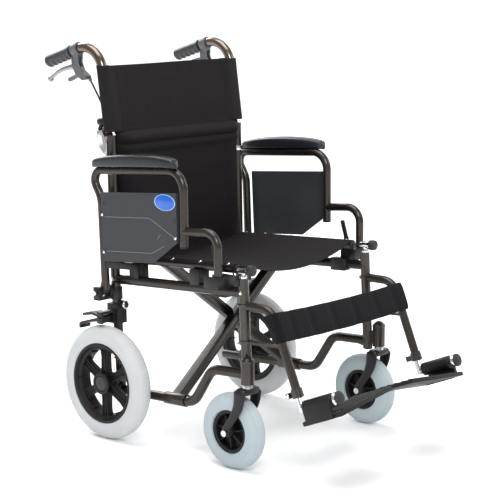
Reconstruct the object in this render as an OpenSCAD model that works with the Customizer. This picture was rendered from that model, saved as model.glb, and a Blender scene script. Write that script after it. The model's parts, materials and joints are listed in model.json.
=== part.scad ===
/* [Overall] */
// Distance between the centre planes of the two side frames
frame_span = 480; // [440:5:520]
// Backward tilt of the side frames, in degrees
frame_tilt = 2.8; // [2:0.1:3.5]
// Fore-aft shift that centres the chair on the origin
centre_y = 45.3; // [30:0.1:70]

/* [Tubes] */
// Radius of the main frame tubes
tube_r = 12.5; // [11:0.5:13]
// Radius of the armrest, seat rail and hanger tubes
slim_r = 11; // [10:0.5:11.5]
// Clearance around a pin or tube that turns in a sleeve
fit = 0.05; // [0.02:0.01:0.1]

/* [Wheels] */
// Radius of the rear tyre
rear_r = 150; // [140:1:155]
// Width of the rear tyre
rear_w = 54; // [44:1:56]
// Radius of the caster tyre
caster_r = 95; // [85:1:98]
// Width of the caster tyre
caster_w = 48; // [36:1:50]

/* [Seat and back] */
// Height of the seat rails above the floor, measured along the frame
seat_h = 478; // [470:1:490]
// Length of the cross brace's lower pivot sleeve
sleeve_len = 72; // [50:1:80]
// Width of the armrest pad
pad_w = 48; // [40:1:50]

/* [Legrests] */
// Forward slope of the lower leg tube, in degrees
leg_tilt = 22.4; // [18:0.2:25]
// Reach of a footplate from its hinge towards the middle
plate_len = 200; // [150:5:205]
// Upward slope of a footplate towards the middle, in degrees
plate_rise = 6; // [2:0.5:8]

/* [Hidden] */
$fn = 48;
PARTS = [
    "side_frame", "rear_axle", "rail_fittings", "back_hinge", "brake_bracket", "brake_shoe",
    "brake_cable", "rear_rim", "rear_tyre", "caster_fork", "caster_axle", "caster_rim",
    "caster_tyre", "arm_tube", "arm_pad", "side_panel", "arm_lever", "back_cane", "back_lock",
    "push_grip", "lever_bracket", "hand_lever", "legrest_hanger", "legrest_plunger",
    "lower_leg", "footplate",
];
NODES = concat(
    [for (side = ["right", "left"]) for (part = PARTS) str(side, "_", part)],
    ["front_brace", "rear_brace", "brace_bolt", "seat_sling", "back_panel", "back_flap", "calf_strap"]
);
node = "all";

// how far a bend runs over the straights beside it, and how much thicker it is
bend_overlap = 1;
bend_swell = 0.06;
link_waist = 0.4;
// clearance between a bracket and the tube it is clamped on
clamp_fit = 0.2;

// colours
bronze = [0.30, 0.27, 0.25];
black = [0.10, 0.10, 0.11];
cloth = [0.15, 0.14, 0.16];
slate = [0.25, 0.26, 0.28];
chrome = [0.80, 0.80, 0.82];
tyre_grey = [0.82, 0.85, 0.86];
badge_blue = [0.10, 0.40, 0.80];

// side frame, in its own tilted plane: [fore-aft, height]
frame_x = frame_span / 2;
front_post_y = -259;
front_post_top = 458;
front_post_foot = 203;
plunger_r = 5;
rear_post_y = 190;
rear_post_foot = 116;
rear_post_kink = 470;
back_top = [179, 798];
side_rail_z = 424.5;
low_rail_z = 130;
low_rail_bend = 45;
low_rail_rise = [[-75, low_rail_z], [-143, 223], [front_post_y, 223]];
tip_tube_end = 262;
tip_bore_r = 9.7;
tip_bore_len = 60;
axle_z = (rear_r + rear_post_y * sin(frame_tilt)) / cos(frame_tilt);
axle_r = 6;

// wheels, upright: [fore-aft, height]
wheel_x = 289;
rear_wheel = [rear_post_y * cos(frame_tilt) + axle_z * sin(frame_tilt), rear_r];
rear_rim_r = 106;
rear_rim_w = 42;
hub_cap_r = 29;
hub_w = 44;
caster_x = 262;
caster_stem_y = -268.5;
caster_trail = 45;
caster_hub = [caster_stem_y + caster_trail, caster_r];
caster_rim_r = 54;
caster_rim_w = 36;
stem_r = 6;
stem_top = 268;
housing_r = 16.5;
housing_z = [219, 272];
fork_gap = caster_w / 2 + 3;
fork_plate = 6;

// cross brace, in the frame's tilted plane
rail_x = 226;
brace_size = 25;
brace_y = [-12, 17];
brace_angle = atan2((seat_h - low_rail_z), frame_x + rail_x);
cross_z = low_rail_z + frame_x * tan(brace_angle);
seat_rail_y = [-228, 165];
sleeve_r = 16;

// armrest, upright: [fore-aft, height]
arm_x = 278;
pad_x = 286;
arm_pivot = [216, 386];
arm_top_slope = 0.065;
arm_path = [[208, 392], [217, 632], [262, 700], [-76, 722], [-77, 536]];
arm_bends = [0, 70, 28, 46, 0];
branch_path = [[-77, 573], [-189, 582], [-189, 450]];
lever_pin = [-166, 462];
guide_y = [-120, 95];
guide_len = 32;
panel_outline = [[207, 648], [-63, 668], [-65, 545], [19, 485], [199, 470]];
panel_t = 2.5;
panel_x = arm_x + slim_r + 0.3;
panel_screws = [[197, 620], [193, 500], [-55, 600]];
pad_h = 26;
pad_y = [-61, 236];

// back canes and handles, upright: [fore-aft, height]
cane_x = 242;
back_pivot = [241, 790];
cane_path = [[219, 796.5], [251.9, 1031], [446, 971.9]];
cane_bend = 70;
grip_slope = 16.9;
grip_front = [357, 999];
grip_len = 94;
lever_pivot = [340, 960];
flap_z = [800, 966];

// wheel brake, upright
shoe_pivot = [205, 320];
shoe_x = frame_x + 25;
shoe_w = 34;

// legrest, upright: [fore-aft, height]
leg_r = 9.5;
stub_start = [-421, 181.5];
hanger_top = 405;
hanger_path = [
    [-247, hanger_top],
    leg_point((hanger_top - stub_start[1]) / cos(leg_tilt)),
    leg_point(30),
];
ring_z = [390, 300];

// ---- helpers ----

// a point along the lower leg tube, above the footplate hinge
function leg_point(t) = stub_start + t * [sin(leg_tilt), cos(leg_tilt)];

module mirrored(side) {
    mirror([side < 0 ? 1 : 0, 0, 0]) children();
}

// turns the frame's own coordinates into the upright chair's
module tilted() {
    rotate([-frame_tilt, 0, 0]) children();
}

// draws in the plane across the chair at x: flat X is fore-aft, flat Y is up
module in_plane(x) {
    translate([x, 0, 0]) rotate([90, 0, 90]) children();
}

function heading(a, b) = atan2(b[1] - a[1], b[0] - a[0]);
function wrap(angle) = angle > 180 ? angle - 360 : angle < -180 ? angle + 360 : angle;
function turn(p, i) = wrap(heading(p[i], p[i + 1]) - heading(p[i - 1], p[i]));
function inner(p, i) = i > 0 && i < len(p) - 1;
function setback(p, bends, i) = inner(p, i) ? bends[i] * tan(abs(turn(p, i)) / 2) : 0;

// a round tube along a flat path whose corners are rounded: each bend runs a little way
// over the straights, and is a hair thicker than they are
module bent_tube(p, bends, r) {
    for (i = [0:len(p) - 2]) {
        a = heading(p[i], p[i + 1]);
        run = norm(p[i + 1] - p[i]) - setback(p, bends, i) - setback(p, bends, i + 1);
        translate(p[i]) rotate([0, 0, a]) translate([setback(p, bends, i), 0, 0])
            rotate([0, 90, 0]) cylinder(h = run, r = r);
    }
    for (i = [1:1:len(p) - 2]) {
        a = heading(p[i - 1], p[i]);
        t = turn(p, i);
        s = t > 0 ? 1 : -1;
        over = asin(bend_overlap / bends[i]);
        translate(p[i]) rotate([0, 0, a]) translate([-setback(p, bends, i), s * bends[i], 0])
            rotate([0, 0, (t > 0 ? -90 : 90 + t) - over])
                rotate_extrude(angle = abs(t) + 2 * over)
                    translate([bends[i], 0]) circle(r = r + bend_swell);
    }
}

// a round bar along X
module bar_x(x0, x1, y, z, r) {
    translate([x0, y, z]) rotate([0, 90, 0]) cylinder(h = x1 - x0, r = r);
}

// a round bar between two points
module rod(a, b, r) {
    d = b - a;
    translate(a) rotate([0, acos(d[2] / norm(d)), atan2(d[1], d[0])]) cylinder(h = norm(d), r = r);
}

// a flat bar with round ends, drawn flat; the bar is a little narrower than its ends
module link(a, b, r) {
    half = r - link_waist;
    translate(a) circle(r = r);
    translate(b) circle(r = r);
    translate(a) rotate([0, 0, heading(a, b)]) translate([0, -half]) square([norm(b - a), 2 * half]);
}

// a flat slot shape with rounded corners
module rounded(size, r) {
    translate([r, 0]) square([size[0] - 2 * r, size[1]]);
    translate([0, r]) square([size[0], size[1] - 2 * r]);
    for (x = [r, size[0] - r], y = [r, size[1] - r]) translate([x, y]) circle(r = r);
}

// a ring section standing on the wheel's axis: outer and inner radius, width, corner radius
module tyre_ring(r_out, r_in, w, corner) {
    rotate([0, 90, 0]) rotate_extrude($fn = 96)
        translate([r_in, -w / 2]) rounded([r_out - r_in, w], corner);
}

function sweep_ring(p, i, r, sides) =
    let (
        along = p[min(i + 1, len(p) - 1)] - p[max(i - 1, 0)],
        t = along / norm(along),
        side = cross(t, [1, 0, 0]),
        u = side / norm(side),
        v = cross(t, u)
    )
    [for (k = [0:sides - 1]) p[i] + r * (cos(360 * k / sides) * u + sin(360 * k / sides) * v)];

// a cord through a list of points
module cord(p, r, sides = 8) {
    n = len(p);
    points = [for (i = [0:n - 1]) each sweep_ring(p, i, r, sides)];
    walls = [
        for (i = [0:n - 2], k = [0:sides - 1])
            [i * sides + k, i * sides + (k + 1) % sides,
                (i + 1) * sides + (k + 1) % sides, (i + 1) * sides + k]
    ];
    first = [for (k = [0:sides - 1]) sides - 1 - k];
    last = [for (k = [0:sides - 1]) (n - 1) * sides + k];
    polyhedron(points = points, faces = concat(walls, [first, last]));
}

// ---- side frame ----

module side_frame() {
    color(bronze) difference() {
        union() {
            tilted() {
                frame_tubes();
                frame_gusset();
                bar_x(frame_x - 14, frame_x + 16, rear_post_y, axle_z, 14);
            }
            caster_housing();
        }
        tilted() {
            bar_x(frame_x - 20, frame_x + 20, rear_post_y, axle_z, axle_r + fit);
            in_plane(frame_x) translate([tip_tube_end - tip_bore_len, low_rail_z, 0])
                rotate([0, 90, 0]) cylinder(h = tip_bore_len + 1, r = tip_bore_r);
        }
        translate([caster_x, caster_stem_y, housing_z[0] - 1])
            cylinder(h = stem_top + 2 - housing_z[0], r = stem_r + fit);
        tilted() translate([frame_x, front_post_y, front_post_top - 26])
            cylinder(h = 30, r = plunger_r + fit);
    }
}

module frame_tubes() {
    translate([frame_x, front_post_y, front_post_foot])
        cylinder(h = front_post_top - front_post_foot, r = tube_r);
    in_plane(frame_x) {
        bent_tube(
            [[rear_post_y, rear_post_foot], [rear_post_y, rear_post_kink], back_top],
            [0, 150, 0], tube_r
        );
        bent_tube([[front_post_y, side_rail_z], [rear_post_y, side_rail_z]], [0, 0], tube_r);
        bent_tube(
            concat([[tip_tube_end, low_rail_z]], low_rail_rise),
            [0, low_rail_bend, low_rail_bend, 0], tube_r
        );
    }
}

// the small plate in the corner of the front post and the low rail
module frame_gusset() {
    in_plane(frame_x - 2) linear_extrude(4)
        polygon([[front_post_y + 5, 205], [front_post_y + 5, 215], [front_post_y + 60, 217]]);
}

module caster_housing() {
    translate([caster_x, caster_stem_y, housing_z[0]])
        cylinder(h = housing_z[1] - housing_z[0], r = housing_r);
    translate([caster_x, caster_stem_y, housing_z[1] - 1]) cylinder(h = 6, r = housing_r + 0.8);
    translate([caster_x, caster_stem_y, housing_z[1] + 5]) cylinder(h = 7, r1 = 16, r2 = 10);
    translate([frame_x, -256, 228]) rotate([0, 0, -44]) translate([0, -6, 0]) cube([20, 12, 34]);
}

// ---- wheels ----

module rear_axle() {
    color(chrome) {
        bar_x(frame_x - 16, wheel_x + 19, rear_wheel[0], rear_wheel[1], axle_r);
        bar_x(frame_x - 20, frame_x - 14, rear_wheel[0], rear_wheel[1], 10);
        bar_x(frame_x + 16, wheel_x - hub_w / 2 - 0.4, rear_wheel[0], rear_wheel[1], 10);
    }
}

module rear_rim() {
    color(black) translate([wheel_x, rear_wheel[0], rear_wheel[1]]) difference() {
        union() {
            rotate([0, 90, 0]) rotate_extrude($fn = 96)
                translate([rear_rim_r - 18, -rear_rim_w / 2]) rounded([18, rear_rim_w], 4);
            for (k = [0:5]) rotate([60 * k + 30, 0, 0]) translate([-12, -11, 0])
                cube([24, 22, rear_rim_r - 8]);
            bar_x(-hub_w / 2, hub_w / 2, 0, 0, hub_cap_r - 3);
            bar_x(hub_w / 2 - 14, hub_w / 2 + 3, 0, 0, hub_cap_r);
        }
        bar_x(-hub_w, 20, 0, 0, axle_r + fit);
    }
}

module rear_tyre() {
    color(tyre_grey) translate([wheel_x, rear_wheel[0], rear_wheel[1]])
        tyre_ring(rear_r, rear_rim_r, rear_w, 18);
}

module caster_fork() {
    color(black) difference() {
        translate([caster_x, 0, 0]) {
            translate([0, caster_stem_y, 190]) cylinder(h = stem_top - 190, r = stem_r);
            translate([0, caster_stem_y, 206]) cylinder(h = 12, r = 13);
            translate([-fork_gap - fork_plate, caster_stem_y - 17, 193])
                cube([2 * (fork_gap + fork_plate), 36, 15]);
            for (s = [-1, 1])
                in_plane(s * (fork_gap + fork_plate / 2)) translate([0, 0, -fork_plate / 2])
                    linear_extrude(fork_plate) fork_side();
        }
        bar_x(caster_x - 50, caster_x + 50, caster_hub[0], caster_hub[1], 5 + fit);
    }
}

// the outline of one side of the fork, swept back to the axle
module fork_side() {
    translate(caster_hub) circle(r = 13);
    polygon([
        [caster_stem_y - 17, 208], [caster_stem_y + 19, 208], [caster_stem_y + 17, 165],
        [caster_hub[0] + 10, caster_hub[1] + 22], [caster_hub[0] + 13, caster_hub[1]],
        [caster_hub[0] - 9, caster_hub[1] - 9], [caster_stem_y - 4, 132], [caster_stem_y - 14, 170],
    ]);
}

module caster_axle() {
    reach = fork_gap + fork_plate;
    color(chrome) {
        bar_x(caster_x - reach - 2, caster_x + reach + 2, caster_hub[0], caster_hub[1], 5);
        bar_x(caster_x + reach, caster_x + reach + 6, caster_hub[0], caster_hub[1], 8);
        bar_x(caster_x - reach - 6, caster_x - reach, caster_hub[0], caster_hub[1], 8);
    }
}

module caster_rim() {
    color(black) translate([caster_x, caster_hub[0], caster_hub[1]]) difference() {
        union() {
            rotate([0, 90, 0]) rotate_extrude($fn = 96)
                translate([caster_rim_r - 9, -caster_rim_w / 2]) rounded([9, caster_rim_w], 3);
            bar_x(-2, 2, 0, 0, caster_rim_r - 4);
            for (k = [0:7]) rotate([45 * k, 0, 0]) translate([-14, -1.5, 0])
                cube([28, 3, caster_rim_r - 6]);
            bar_x(-fork_gap + 1, fork_gap - 1, 0, 0, 14);
        }
        bar_x(-50, 50, 0, 0, 5 + fit);
    }
}

module caster_tyre() {
    color(tyre_grey) translate([caster_x, caster_hub[0], caster_hub[1]])
        tyre_ring(caster_r, caster_rim_r, caster_w, 17);
}

// ---- wheel brake ----

module brake_bracket() {
    color(black) difference() {
        union() {
            translate([frame_x - 15, 187, 300]) cube([34, 38, 52]);
            translate([frame_x + 18, 196, 306]) cube([48, 18, 31]);
            translate([frame_x - 9, 187, 340]) cube([18, 12, 19]);
        }
        tilted() translate([frame_x, rear_post_y, 100]) cylinder(h = 300, r = tube_r + clamp_fit);
        translate([shoe_x - 1, 190, 300]) cube([shoe_w + 2, 30, 31]);
        bar_x(frame_x, frame_x + 80, shoe_pivot[0], shoe_pivot[1], 3.5 + fit);
    }
    color(chrome) bar_x(frame_x + 17, frame_x + 69, shoe_pivot[0], shoe_pivot[1], 3.5);
    color(chrome) translate([frame_x, 187.5, 350]) rotate([90, 0, 0]) cylinder(h = 11, r = 8.5);
}

// the lever and the hooked shoe plate over the tyre
module brake_shoe() {
    color(black) difference() {
        in_plane(shoe_x) linear_extrude(shoe_w) polygon([
            [199, 311], [199, 322], [204, 326.5], [212, 326], [240, 331.5], [277, 324.5],
            [276, 317.5], [240, 324.5], [218, 320], [279, 302], [291, 296], [291, 283],
            [284, 283], [284, 291], [250, 304], [216, 309], [203, 306],
        ]);
        bar_x(shoe_x - 1, shoe_x + shoe_w + 1, shoe_pivot[0], shoe_pivot[1], 3.5 + fit);
    }
}

module brake_cable() {
    color(black) cord([
        [232, 298.5, 924], [230, 287, 905], [226, 269, 872], [221, 257, 842], [218, 250, 815],
        [217, 246, 786], [217, 243, 750], [218, 241, 700], [219, 239, 640], [220, 237, 580],
        [222, 236, 520], [225, 235, 460], [228, 231, 410], [227, 227, 380], [228.5, 221.5, 353],
    ], 2.5);
}

// ---- armrest ----

// the fittings clamped on the tubes: the armrest's rear bracket and front socket, and the
// two guides that the seat rail comes down into
module rail_fittings() {
    rear_arm_bracket();
    front_arm_socket();
    for (y = guide_y) seat_guide(y);
}

module rear_arm_bracket() {
    color(bronze) difference() {
        union() {
            tilted() translate([frame_x, rear_post_y, 372]) cylinder(h = 32, r = tube_r + 3.5);
            translate([frame_x + 8, 206, 366]) cube([56, 22, 34]);
        }
        tilted() translate([frame_x, rear_post_y, 300]) cylinder(h = 200, r = tube_r + clamp_fit);
        translate([arm_x - 13, 180, 373]) cube([26, 60, 40]);
        bar_x(frame_x + 15, frame_x + 90, arm_pivot[0], arm_pivot[1], 4 + fit);
    }
    color(chrome) {
        bar_x(frame_x + 17, frame_x + 67, arm_pivot[0], arm_pivot[1], 4);
        bar_x(frame_x + 64, frame_x + 69, arm_pivot[0], arm_pivot[1], 7);
    }
}

module front_arm_socket() {
    color(black) difference() {
        union() {
            tilted() in_plane(frame_x - 16) translate([-206, side_rail_z - 17, 0])
                linear_extrude(20) rounded([52, 34], 5);
            translate([frame_x - 4, -206, 446]) cube([60, 48, 29]);
        }
        tilted() in_plane(frame_x) translate([-300, side_rail_z, 0])
            rotate([0, 90, 0]) cylinder(h = 400, r = tube_r + clamp_fit);
        translate([arm_x - slim_r - 0.6, branch_path[2][0] - slim_r - 0.6, 440])
            cube([2 * slim_r + 1.2, 60, 60]);
        translate([frame_x + 9.4, -182, 440]) cube([9.2, 60, 60]);
        bar_x(frame_x, frame_x + 26, lever_pin[0], lever_pin[1], 3 + fit);
    }
    color(chrome) bar_x(frame_x + 1, frame_x + 25, lever_pin[0], lever_pin[1], 3);
}

module seat_guide(y) {
    color(black) tilted() translate([0, y + guide_len, 0]) rotate([90, 0, 0]) difference() {
        translate([frame_x - 28, side_rail_z, 0]) cube([38, 46, guide_len]);
        translate([frame_x, side_rail_z, -1])
            cylinder(h = guide_len + 2, r = tube_r + clamp_fit);
        translate([rail_x, seat_h, -1]) cylinder(h = guide_len + 2, r = slim_r + 0.4);
    }
}

module arm_lever() {
    color(black) difference() {
        in_plane(frame_x + 10) linear_extrude(8) {
            link(lever_pin, [-163, 500], 6);
            link([-163, 500], [-150, 542], 5);
        }
        bar_x(frame_x, frame_x + 40, lever_pin[0], lever_pin[1], 3 + fit);
    }
}

module arm_tube() {
    color(bronze) difference() {
        union() {
            in_plane(arm_x) {
                bent_tube(arm_path, arm_bends, slim_r);
                bent_tube(branch_path, [0, 38, 0], slim_r - 0.4);
            }
            bar_x(arm_x - 10, arm_x + 10, arm_pivot[0], arm_pivot[1], 9);
            in_plane(arm_x - 9.5) linear_extrude(19)
                polygon([[209, 382], [223, 383], [216, 412], [204, 412]]);
        }
        bar_x(arm_x - 20, arm_x + 20, arm_pivot[0], arm_pivot[1], 4 + fit);
    }
}

module arm_pad() {
    low = arm_path[3][1] + slim_r + 0.3;
    slope = atan(arm_top_slope);
    color(black) translate([pad_x, arm_path[3][0], low]) rotate([-slope, 0, 0])
        translate([-pad_w / 2, pad_y[0] - arm_path[3][0], 0]) hull() {
            for (x = [8, pad_w - 8], y = [10, pad_y[1] - pad_y[0] - 10]) translate([x, y, 0])
                cylinder(h = 8, r = 8, $fn = 32);
            for (x = [13, pad_w - 13], y = [16, pad_y[1] - pad_y[0] - 16]) translate([x, y, 0])
                cylinder(h = pad_h, r = 10, $fn = 32);
        }
}

module side_panel() {
    color(slate) {
        in_plane(panel_x) linear_extrude(panel_t) polygon(panel_outline);
        in_plane(arm_x + 4) linear_extrude(panel_x + panel_t - arm_x - 4)
            polygon([[-63, 668], [-65, 545], [-62, 543], [-60, 667.8]]);
        for (spot = panel_screws)
            bar_x(panel_x + panel_t - 0.5, panel_x + panel_t + 1.5, spot[0], spot[1], 4);
    }
    color(badge_blue) in_plane(panel_x + panel_t) translate([-22, 642])
        linear_extrude(1) intersection() {
            translate([0, -22]) circle(r = 42, $fn = 64);
            translate([0, 22]) circle(r = 42, $fn = 64);
        }
}

// ---- folding back ----

module back_hinge() {
    color(chrome) {
        for (x = [frame_x - 15.5, cane_x + 13]) in_plane(x) linear_extrude(2.8)
            polygon([[217, 720], [231, 720], [254, 766], [252, 800], [232, 800], [217, 770]]);
        bar_x(cane_x - 20.5, cane_x + 17.5, back_pivot[0], back_pivot[1], 4);
        bar_x(frame_x - 17.5, frame_x - 14, 224, 742, 5);
        bar_x(cane_x + 15, cane_x + 17.5, 224, 742, 5);
        difference() {
            tilted() translate([frame_x, 181.3, 722]) cylinder(h = 12, r = tube_r + 4.5);
            tilted() translate([frame_x, 181.3, 720]) cylinder(h = 16, r = tube_r + 0.3);
        }
    }
}

module back_cane() {
    color(bronze) difference() {
        union() {
            in_plane(cane_x) bent_tube(cane_path, [0, cane_bend, 0], tube_r);
            in_plane(cane_x - 9) linear_extrude(18) link([222, 812], back_pivot, 7.5);
            rod([cane_x, 226, 826], [cane_x, 262, 821], 3);
        }
        bar_x(cane_x - 30, cane_x + 30, back_pivot[0], back_pivot[1], 4 + fit);
    }
}

// the lock behind the hinge: an arm on a pin, with its round knob
module back_lock() {
    color(black) difference() {
        union() {
            in_plane(cane_x - 4) linear_extrude(8) link([246, 822], [256, 803], 4.5);
            rod([cane_x, 239, 824.2], [cane_x, 258, 821.6], 9);
        }
        rod([cane_x, 226, 826], [cane_x, 264, 820.7], 3 + fit);
    }
}

module push_grip() {
    color(black) in_plane(cane_x) translate(grip_front) rotate([0, 0, -grip_slope]) rotate([0, 90, 0])
        difference() {
            union() {
                cylinder(h = grip_len + 6, r = 16);
                cylinder(h = 5, r = 18);
                for (k = [0:4]) translate([0, 0, 14 + 18 * k]) cylinder(h = 8, r = 17.2);
            }
            translate([0, 0, -1]) cylinder(h = grip_len + 1, r = tube_r + 0.1);
        }
}

module lever_bracket() {
    color(black) difference() {
        union() {
            in_plane(cane_x) translate([328, 1007.8]) rotate([0, 0, -grip_slope]) rotate([0, 90, 0])
                cylinder(h = 22, r = tube_r + 4.5);
            in_plane(cane_x - 9) linear_extrude(18)
                polygon([[325, 1000], [352, 996], [350, 962], [336, 940], [312, 926], [296, 930],
                    [296, 938], [318, 952], [327, 972]]);
            in_plane(cane_x - 4) linear_extrude(8) link([334, 938], [366, 926], 5);
            rod([cane_x - 10, 308, 938], [cane_x - 10, 299, 925], 4.5);
        }
        in_plane(cane_x) bent_tube([[300, 1016.3], [400, 985.9]], [0, 0], tube_r + clamp_fit);
        translate([cane_x - 6, 322, 946]) cube([12, 60, 40]);
        bar_x(cane_x - 20, cane_x + 20, lever_pivot[0], lever_pivot[1], 3 + fit);
    }
    color(chrome) bar_x(cane_x - 9, cane_x + 9, lever_pivot[0], lever_pivot[1], 3);
}

module hand_lever() {
    color(chrome) difference() {
        in_plane(cane_x - 4.5) linear_extrude(9) {
            link(lever_pivot, [372, 956], 6);
            link([372, 956], [410, 946], 4.5);
            link([410, 946], [440, 927], 4);
            translate([443, 925]) circle(r = 7);
        }
        bar_x(cane_x - 20, cane_x + 20, lever_pivot[0], lever_pivot[1], 3 + fit);
    }
}

// ---- legrest ----

module legrest_hanger() {
    color(bronze) difference() {
        union() {
            in_plane(frame_x) bent_tube(hanger_path, [0, 45, 0], slim_r);
            tilted() for (z = ring_z) {
                translate([frame_x, front_post_y, z]) cylinder(h = 7, r = tube_r + 5);
                translate([frame_x - 6, front_post_y - 32, z]) cube([12, 30, 7]);
            }
            tilted() translate([frame_x - 7, -372, ring_z[1]]) cube([14, 110, 6]);
            leg_frame() {
                translate([0, 0, 27]) cylinder(h = 22, r = slim_r + 3);
                translate([-7, -30, 30]) cube([14, 25, 14]);
            }
        }
        tilted() translate([frame_x, front_post_y, 250]) cylinder(h = 200, r = tube_r + fit);
        leg_frame() cylinder(h = 190, r = leg_r + fit);
    }
    color(chrome) leg_frame() translate([5, -24, 37]) rotate([0, 90, 0]) cylinder(h = 7, r = 6);
}

// the lower leg's own frame: Z up along the tube, -Y to the rear, +Y forward along the footplate hinge
module leg_frame() {
    translate([frame_x, stub_start[0], stub_start[1]]) rotate([-leg_tilt, 0, 0])
        mirror([0, 1, 0]) children();
}

// the sprung plunger in the top of the front post, lifted by its knob
module legrest_plunger() {
    color(chrome) tilted() {
        translate([frame_x, front_post_y, front_post_top - 22]) cylinder(h = 42, r = plunger_r);
        translate([frame_x, front_post_y, front_post_top + 0.2]) cylinder(h = 8, r = 9);
        translate([frame_x, -248, 479.5]) rotate([90, 0, 0]) cylinder(h = 30, r = 9);
    }
    color(black) tilted() translate([frame_x, -277, 479.5]) rotate([90, 0, 0])
        cylinder(h = 13, r = 13);
}

module lower_leg() {
    color(chrome) leg_frame() cylinder(h = 130, r = leg_r);
    color(black) leg_frame() {
        rotate([-90, 0, 0]) cylinder(h = 106, r = 9);
        translate([0, 0, -9]) cylinder(h = 9, r = leg_r);
        translate([0, 106, 0]) rotate([-90, 0, 0]) cylinder(h = 6, r = 10);
        translate([0, 112, 0]) rotate([-90, 0, 0]) cylinder(h = 8, r1 = 17, r2 = 12);
    }
}

module footplate() {
    color(black) leg_frame() difference() {
        union() {
            translate([0, 14, 0]) rotate([-90, 0, 0]) cylinder(h = 84, r = 17);
            translate([7, 14, -42]) cube([10, 84, 44]);
            translate([-14, 14, -42]) cube([24, 84, 10]);
            translate([10, -4, -42]) rotate([0, plate_rise, 0]) tread();
        }
        rotate([-90, 0, 0]) translate([0, 0, 13]) cylinder(h = 100, r = 9 + fit);
    }
}

// the ribbed step, reaching inwards from the hinge block
module tread() {
    translate([-plate_len - 10, 0, 0]) {
        cube([plate_len + 8, 124, 10]);
        for (k = [0:4]) translate([6, 14 + 23 * k, 10]) cube([plate_len - 22, 5, 2]);
    }
}

// ---- cross brace, seat and back ----

module brace_tube(y, foot_side) {
    length = norm([frame_x + rail_x, seat_h - low_rail_z]);
    mirrored(-foot_side) translate([-frame_x, y, low_rail_z]) rotate([0, -brace_angle, 0])
        translate([0, -brace_size / 2, -brace_size / 2]) cube([length, brace_size, brace_size]);
}

// a brace: foot sleeve on one side's low rail, seat rail over the other side's frame
module brace(y, foot_side) {
    color(bronze) tilted() difference() {
        union() {
            brace_tube(y, foot_side);
            in_plane(foot_side * frame_x) translate([y - 37, low_rail_z, 0])
                rotate([0, 90, 0]) cylinder(h = sleeve_len, r = sleeve_r);
            in_plane(-foot_side * rail_x) translate([seat_rail_y[0], seat_h, 0])
                rotate([0, 90, 0]) cylinder(h = seat_rail_y[1] - seat_rail_y[0], r = slim_r);
        }
        in_plane(foot_side * frame_x) translate([-200, low_rail_z, 0])
            rotate([0, 90, 0]) cylinder(h = 400, r = tube_r + fit);
        translate([0, 100, cross_z]) rotate([90, 0, 0]) cylinder(h = 200, r = 5 + fit);
    }
}

module front_brace() {
    brace(brace_y[0], -1);
}

module rear_brace() {
    brace(brace_y[1], 1);
}

module brace_bolt() {
    back = brace_y[1] + brace_size / 2;
    front = brace_y[0] - brace_size / 2;
    color(chrome) tilted() translate([0, 0, cross_z]) rotate([-90, 0, 0]) {
        translate([0, 0, front - 8]) cylinder(h = back - front + 16, r = 5);
        translate([0, 0, front - 8]) cylinder(h = 7, r = 9);
        translate([0, 0, back + 1]) cylinder(h = 7, r = 9);
        translate([0, 0, front + brace_size + 0.5]) cylinder(h = 3, r = 11);
    }
}

module seat_sling() {
    color(cloth) tilted() translate([-237, seat_rail_y[0] - 4, seat_h + slim_r + 0.4])
        cube([474, seat_rail_y[1] - seat_rail_y[0] + 6, 3]);
}

module back_panel() {
    color(cloth) tilted() difference() {
        in_plane(-250) linear_extrude(500)
            polygon([[170, 500], [176, 500], [164.5, 806], [158.5, 806]]);
        for (side = [-1, 1]) translate([side * frame_x, 181.3, 716]) cylinder(h = 24, r = tube_r + 5);
    }
}

module back_flap() {
    color(cloth) in_plane(-258) linear_extrude(516)
        polygon([[199, flap_z[0]], [205, flap_z[0]], [228, flap_z[1]], [222, flap_z[1]]]);
}

module calf_strap() {
    color(cloth) leg_frame() translate([-frame_x - 252, slim_r + 1, 163]) cube([504, 5, 70]);
}

// ---- which node is drawn ----

function wanted(name) = node == "all" || node == name;

translate([0, centre_y, 0]) {
    for (side = [-1, 1]) mirrored(side) {
        at = side < 0 ? "right_" : "left_";
        if (wanted(str(at, "side_frame"))) side_frame();
        if (wanted(str(at, "rear_axle"))) rear_axle();
        if (wanted(str(at, "rail_fittings"))) rail_fittings();
        if (wanted(str(at, "back_hinge"))) back_hinge();
        if (wanted(str(at, "brake_bracket"))) brake_bracket();
        if (wanted(str(at, "brake_shoe"))) brake_shoe();
        if (wanted(str(at, "brake_cable"))) brake_cable();
        if (wanted(str(at, "rear_rim"))) rear_rim();
        if (wanted(str(at, "rear_tyre"))) rear_tyre();
        if (wanted(str(at, "caster_fork"))) caster_fork();
        if (wanted(str(at, "caster_axle"))) caster_axle();
        if (wanted(str(at, "caster_rim"))) caster_rim();
        if (wanted(str(at, "caster_tyre"))) caster_tyre();
        if (wanted(str(at, "arm_tube"))) arm_tube();
        if (wanted(str(at, "arm_pad"))) arm_pad();
        if (wanted(str(at, "side_panel"))) side_panel();
        if (wanted(str(at, "arm_lever"))) arm_lever();
        if (wanted(str(at, "back_cane"))) back_cane();
        if (wanted(str(at, "back_lock"))) back_lock();
        if (wanted(str(at, "push_grip"))) push_grip();
        if (wanted(str(at, "lever_bracket"))) lever_bracket();
        if (wanted(str(at, "hand_lever"))) hand_lever();
        if (wanted(str(at, "legrest_hanger"))) legrest_hanger();
        if (wanted(str(at, "legrest_plunger"))) legrest_plunger();
        if (wanted(str(at, "lower_leg"))) lower_leg();
        if (wanted(str(at, "footplate"))) footplate();
    }
    if (wanted("front_brace")) front_brace();
    if (wanted("rear_brace")) rear_brace();
    if (wanted("brace_bolt")) brace_bolt();
    if (wanted("seat_sling")) seat_sling();
    if (wanted("back_panel")) back_panel();
    if (wanted("back_flap")) back_flap();
    if (wanted("calf_strap")) calf_strap();
}
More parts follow.
